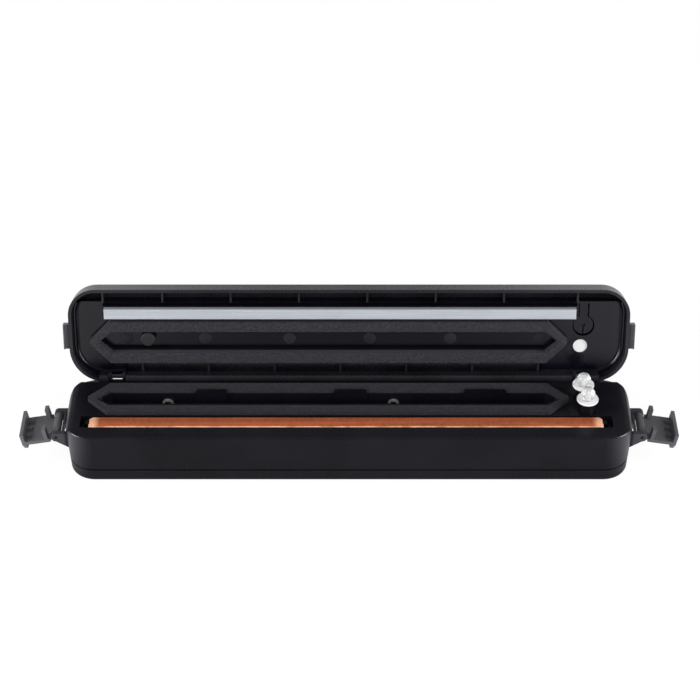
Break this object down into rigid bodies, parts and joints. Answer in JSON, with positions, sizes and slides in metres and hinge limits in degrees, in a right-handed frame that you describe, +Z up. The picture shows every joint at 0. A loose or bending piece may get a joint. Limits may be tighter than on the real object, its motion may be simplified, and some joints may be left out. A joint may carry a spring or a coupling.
{
  "type": "vacuum sealer",
  "caption": "Long low vacuum sealer with a hinged lid held open, foam gaskets, a heated sealing bar, plungers at one end and a swing latch at each side.",
  "frame": {"origin": "middle of the box round the open sealer, on the table", "axes": "+X along the body to its right end, +Y to the hinge side at the back, +Z up"},
  "size_m": [0.4206, 0.0904, 0.098],
  "materials": {
    "housing_black": "fine moulded texture, satin black",
    "lid_black": "fine moulded texture, satin black",
    "inner_black": "smooth moulded black, softly glossy",
    "latch_grey": "dark grey moulded plastic",
    "foam_black": "closed-cell foam, matt, fine pores",
    "silicone_grey": "light grey silicone, softly glossy",
    "ptfe_cloth": "copper-coloured woven non-stick cloth",
    "phenolic": "brown insulating board",
    "ribbon_metal": "bare heating ribbon",
    "brass_clip": "stamped brass",
    "steel_pin": "bright drawn steel",
    "chrome_rim": "bright plated metal",
    "clear_cap": "clear moulded plastic",
    "white_plastic": "white moulded plastic",
    "collar_black": "polished black plastic",
    "rubber_black": "black rubber",
    "spring_steel": "spring wire",
    "motor_can": "zinc-plated steel can",
    "board_green": "green circuit board",
    "hose_clear": "milky silicone hose",
    "relay_blue": "moulded relay case",
    "core_iron": "laminated core",
    "coil_copper": "enamelled copper winding"
  },
  "bodies": {
    "base": {"base_housing": "housing_black", "bottom_cover": "housing_black", "rubber_feet": "rubber_black", "bottom_screws": "steel_pin", "lower_gasket": "foam_black", "heater_bar": "phenolic", "heating_ribbon": "ribbon_metal", "heater_tape": "ptfe_cloth", "heater_clips": "brass_clip", "suction_eyelets": "chrome_rim", "plunger_switches": "inner_black", "inlet_body": "inner_black", "inlet_pins": "brass_clip", "pump_motor": "motor_can", "pump_head": "inner_black", "pump_saddles": "rubber_black", "vacuum_hose": "hose_clear", "circuit_board": "board_green", "pressure_sensor": "inner_black", "sensor_hose": "hose_clear", "relay": "relay_blue", "capacitor": "motor_can", "transformer_core": "core_iron", "transformer_coil": "coil_copper", "latch_pin_left": "steel_pin", "latch_pin_right": "steel_pin", "front_plunger_spring": "spring_steel", "rear_plunger_spring": "spring_steel"},
    "lid": {"lid_shell": "lid_black", "lid_panel": "inner_black", "upper_gasket": "foam_black", "seal_strip": "silicone_grey", "vent_plug": "rubber_black", "push_pad": "white_plastic", "panel_screws": "steel_pin", "hinge_pin_left": "steel_pin", "hinge_pin_right": "steel_pin"},
    "press_button": {"press_tongue": "inner_black", "lid_button": "inner_black"},
    "left_latch": {"latch_flap_left": "latch_grey"},
    "right_latch": {"latch_flap_right": "latch_grey"},
    "front_plunger": {"front_plunger_stem": "collar_black", "front_plunger_flange": "white_plastic", "front_plunger_dome": "clear_cap"},
    "rear_plunger": {"rear_plunger_stem": "collar_black", "rear_plunger_flange": "white_plastic", "rear_plunger_dome": "clear_cap"}
  },
  "joints": [
    {"name": "lid_hinge", "type": "hinge", "parent": "base", "child": "lid", "pos_m": [0, 0.0147, 0.0401], "axis": [1, 0, 0], "range_deg": [0, 106]},
    {"name": "left_latch_hinge", "type": "hinge", "parent": "base", "child": "left_latch", "pos_m": [-0.187, -0.0141, 0.0232], "axis": [0, 1, 0], "range_deg": [0, 100]},
    {"name": "right_latch_hinge", "type": "hinge", "parent": "base", "child": "right_latch", "pos_m": [0.187, -0.0141, 0.0232], "axis": [0, -1, 0], "range_deg": [0, 100]},
    {"name": "front_plunger_slide", "type": "slide", "parent": "base", "child": "front_plunger", "axis": [0, 0, -1], "range_m": [0, 0.0084], "deforming": ["front_plunger_spring"]},
    {"name": "rear_plunger_slide", "type": "slide", "parent": "base", "child": "rear_plunger", "axis": [0, 0, -1], "range_m": [0, 0.0084], "deforming": ["rear_plunger_spring"]},
    {"name": "button_press", "type": "hinge", "parent": "lid", "child": "press_button", "pos_m": [0.1512, 0.03706, 0.08289], "axis": [-1, 0, 0], "range_deg": [0, 2.5], "stiffness_Nm_per_rad": 0.15}
  ],
  "couplings": [
    {"joint": "front_plunger_slide", "follows": "lid_hinge", "m_per_rad": 0.0045404},
    {"joint": "rear_plunger_slide", "follows": "lid_hinge", "m_per_rad": 0.0045404}
  ]
}
